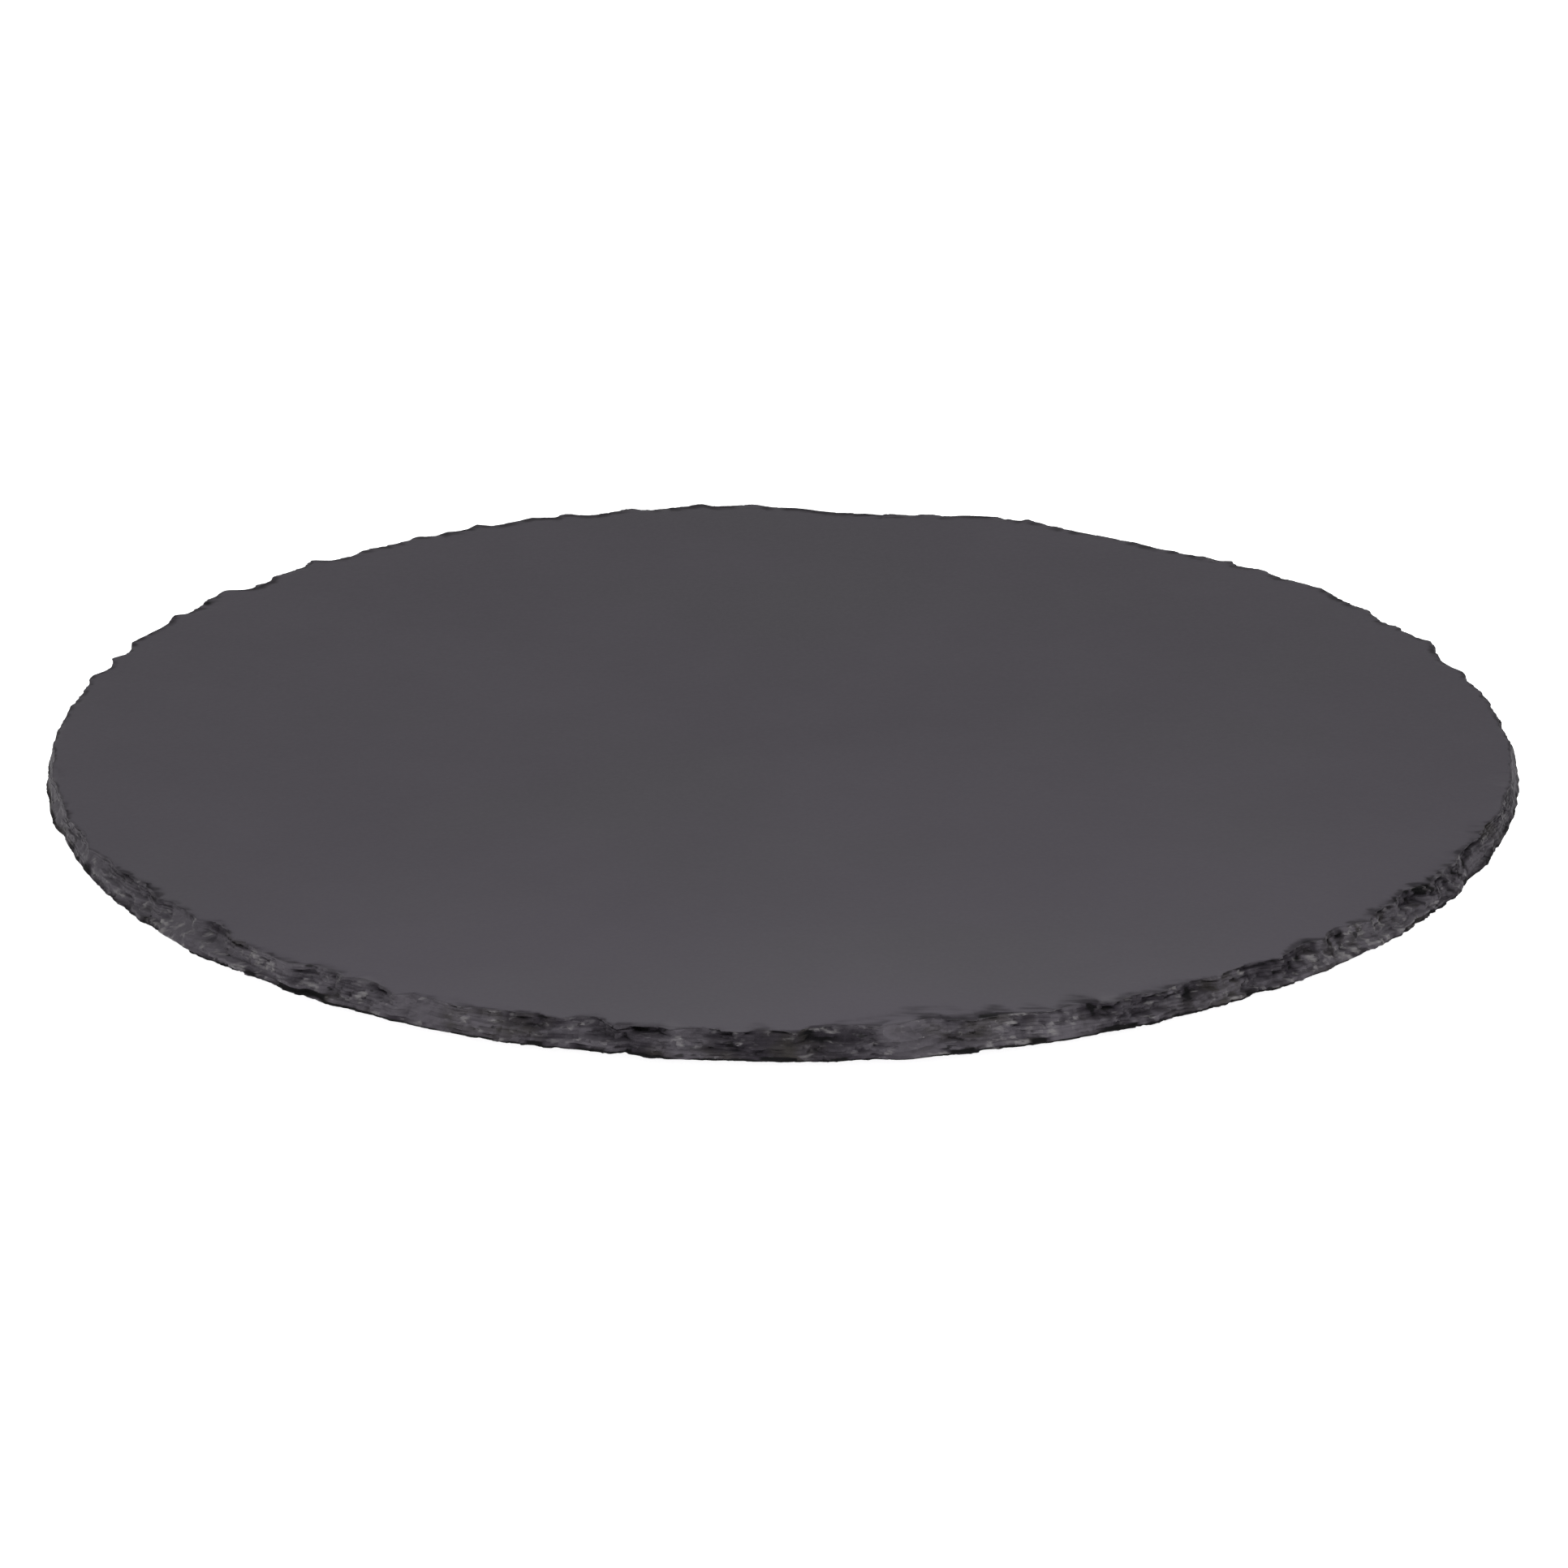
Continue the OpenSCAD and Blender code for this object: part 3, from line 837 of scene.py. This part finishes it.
# The foot's skin from its seat down and in to its middle: radius and height in millimetres
FOOT_RINGS = (
    (5.96, 1.76), (6.0, 1.7), (6.0, 1.2), (5.98, 0.72), (5.94, 0.48), (5.85, 0.3), (5.7, 0.14),
    (5.5, 0.04), (5.25, 0.0), (4.6, 0.0), (4.48, 0.03), (4.36, 0.14), (4.24, 0.2), (3.3, 0.2),
    (3.18, 0.14), (3.06, 0.04), (2.9, 0.01), (2.2, 0.01), (2.08, 0.05), (1.98, 0.16), (1.85, 0.2),
    (0.9, 0.2),
)
FOOT_SEAT_R = 0.0059
RUBBER_BLACK = (0.012, 0.012, 0.0125, 1)
RUBBER_DUSTY = (0.028, 0.028, 0.029, 1)
rubber, shader, place = new_finish("black_rubber", Specular_IOR_Level=0.4)
dust = place.grain(0.0016, detail=4, roughness=0.6)
pores = place.grain(0.0003)
scuffs = place.stretched((1, 0.2, 1), 0.6).grain(0.0007, detail=3, roughness=0.6)
rubber_height = pores + scuffs.rise(0.55, 0.75) * 0.6
bump = rubber_height.node(
    "ShaderNodeBump", {}, {"Strength": 0.4, "Distance": 0.00005, "Height": rubber_height}
)
dusty_share = dust.rise(0.35, 0.8) * 0.8 + scuffs.rise(0.55, 0.8) * 0.4
feed(
    shader,
    Base_Color=dusty_share.blend(RUBBER_BLACK, RUBBER_DUSTY),
    Roughness=0.5 + dust * 0.3,
    Normal=bump,
)


def lay_rings(first_r, first_z, rings, middle):
    """Makes a closed disc from its upper face down, through each ring's radius and height."""
    bpy.ops.object.select_all(action="DESELECT")
    bpy.ops.mesh.primitive_circle_add(
        vertices=DISC_POINTS, radius=first_r, fill_type="NGON", location=(*middle, first_z)
    )
    bpy.ops.object.transform_apply()
    bpy.ops.object.mode_set(mode="EDIT")
    ring_r, ring_z = first_r, first_z
    for next_r, next_z in rings:
        bpy.ops.mesh.extrude_region_move(TRANSFORM_OT_translate={"value": (0, 0, next_z - ring_z)})
        shrink = next_r / ring_r
        bpy.ops.transform.resize(value=(shrink, shrink, 1), center_override=(*middle, next_z))
        ring_r, ring_z = next_r, next_z
    return bpy.context.object


def at_each_foot(first_piece, kind):
    """The piece that was made at the first foot, and its copy at each other foot."""
    pieces = [first_piece]
    for middle in foot_middles[1:]:
        piece = first_piece.copy()
        piece.data = first_piece.data.copy()
        piece.data.transform(Matrix.Translation((middle - foot_middles[0]).to_3d()))
        bpy.context.collection.objects.link(piece)
        pieces.append(piece)
    for piece, corner in zip(pieces, FEET):
        piece.name = kind + "_" + corner
    return pieces


low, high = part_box("foot_" + FEET[0])
rings = [(ring_r / 1000, low.z + ring_z / 1000) for ring_r, ring_z in FOOT_RINGS]
foot = lay_rings(FOOT_SEAT_R, high.z, rings, foot_middles[0])
bpy.ops.mesh.poke()
bpy.ops.mesh.select_all(action="SELECT")
bpy.ops.mesh.normals_make_consistent(inside=False)
bpy.ops.object.mode_set(mode="OBJECT")
bpy.ops.object.shade_smooth_by_angle(angle=math.radians(40))
foot.data.materials.append(rubber)
for foot, corner in zip(at_each_foot(foot, "rubber"), FEET):
    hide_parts("foot_" + corner)
    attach(foot, "root")

# The adhesive films
# A thin, milky film of acrylic adhesive between each foot and the stone, cut a little smaller
# than the foot. It has crept out unevenly under the board's weight, and bulges at its edge.

# The film's edge from the stone down: how far in it stands, in millimetres, and its height as a
# share of the film's
FILM_RINGS = ((0.16, 1), (0.05, 0.85), (0.0, 0.55), (0.03, 0.25), (0.14, 0))
# How far its edge wavers, how often round it, and how far apart the films lie in the noise
FILM_CREEP = 0.00022
CREEP_WAVES = 2.4
CREEP_STEP = 7.7
FILM_CLEAR = (0.52, 0.51, 0.47, 1)
FILM_MILKY = (0.7, 0.69, 0.65, 1)
film, shader, place = new_finish("milky_film")
cloud = place.grain(0.002, detail=3)
bubbles = place.grain(0.0006)
bump = bubbles.node("ShaderNodeBump", {}, {"Strength": 0.3, "Distance": 0.00005, "Height": bubbles})
feed(
    shader,
    Base_Color=(cloud * 0.7 + bubbles * 0.3).rise(0.35, 0.65).blend(FILM_CLEAR, FILM_MILKY),
    Roughness=0.3 + cloud * 0.25,
    Normal=bump,
)
low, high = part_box("adhesive_" + FEET[0])
film_r, film_t = (high.x - low.x) / 2, high.z - low.z
rings = [(film_r - ring_in / 1000, low.z + film_t * share) for ring_in, share in FILM_RINGS]
film_layer = lay_rings(*rings[0], rings[1:], foot_middles[0])
bpy.ops.mesh.select_all(action="SELECT")
bpy.ops.mesh.normals_make_consistent(inside=False)
bpy.ops.object.mode_set(mode="OBJECT")
bpy.ops.object.shade_smooth_by_angle(angle=math.radians(60))
film_layer.data.materials.append(film)
for number, film_layer in enumerate(at_each_foot(film_layer, "film")):
    for point in film_layer.data.vertices:
        outward = (point.co.xy - foot_middles[number]).normalized()
        creep_place = Vector((*outward * CREEP_WAVES, CREEP_STEP * number))
        creep = FILM_CREEP * (0.5 - noise.noise(creep_place))
        point.co.x -= outward.x * max(creep, 0)
        point.co.y -= outward.y * max(creep, 0)
    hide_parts("adhesive_" + FEET[number])
    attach(film_layer, "root")

# The floor
# A wide, plain, near-white floor, which the board stands on.
FLOOR_WIDTH = 12
bpy.ops.mesh.primitive_plane_add(size=FLOOR_WIDTH, location=(0, 0, 0))
floor = bpy.context.object
floor.name = "floor"
white, shader, place = new_finish(
    "floor_white", Base_Color=(0.93, 0.93, 0.93, 1), Roughness=0.9, Specular_IOR_Level=0.1,
    Emission_Color=(1, 1, 1, 1), Emission_Strength=0.85,
)
floor.data.materials.append(white)

# The light
# A white room, and a long soft lamp above the front of the board.
room = bpy.data.worlds.new("room")
bpy.context.scene.world = room
room.use_nodes = True
room.node_tree.nodes["Background"].inputs["Color"].default_value = (1, 1, 1, 1)
room.node_tree.nodes["Background"].inputs["Strength"].default_value = 0.88
LAMP_AT = (0.05, -0.26, 0.17)
bpy.ops.object.light_add(type="AREA", location=LAMP_AT)
lamp = bpy.context.object
lamp.name = "soft_lamp"
lamp.data.shape = "RECTANGLE"
lamp.data.size = 0.4
lamp.data.size_y = 0.08
lamp.data.energy = 0.53
lamp.visible_camera = False
bpy.context.scene.view_settings.view_transform = "Standard"

# The camera
# It looks down on the board at the photograph's angle, from 1.4 metres away. Its lens and its
# sensor are in millimetres.
CAMERA_ANGLE = math.radians(21.464)
CAMERA_AWAY = 1.4
CAMERA_LENS = 157.48
CAMERA_SENSOR = 36
AIM = Vector((0.00015, -0.0105, stone_low.z))
camera_y = -CAMERA_AWAY * math.cos(CAMERA_ANGLE)
camera_z = stone_low.z + CAMERA_AWAY * math.sin(CAMERA_ANGLE)
bpy.ops.object.camera_add(location=(0, camera_y, camera_z))
camera = bpy.context.object
camera.name = "camera"
camera.data.lens = CAMERA_LENS
camera.data.sensor_width = CAMERA_SENSOR
camera.rotation_euler = (AIM - camera.location).to_track_quat("-Z", "Y").to_euler()
bpy.context.scene.camera = camera

bpy.context.view_layer.update()
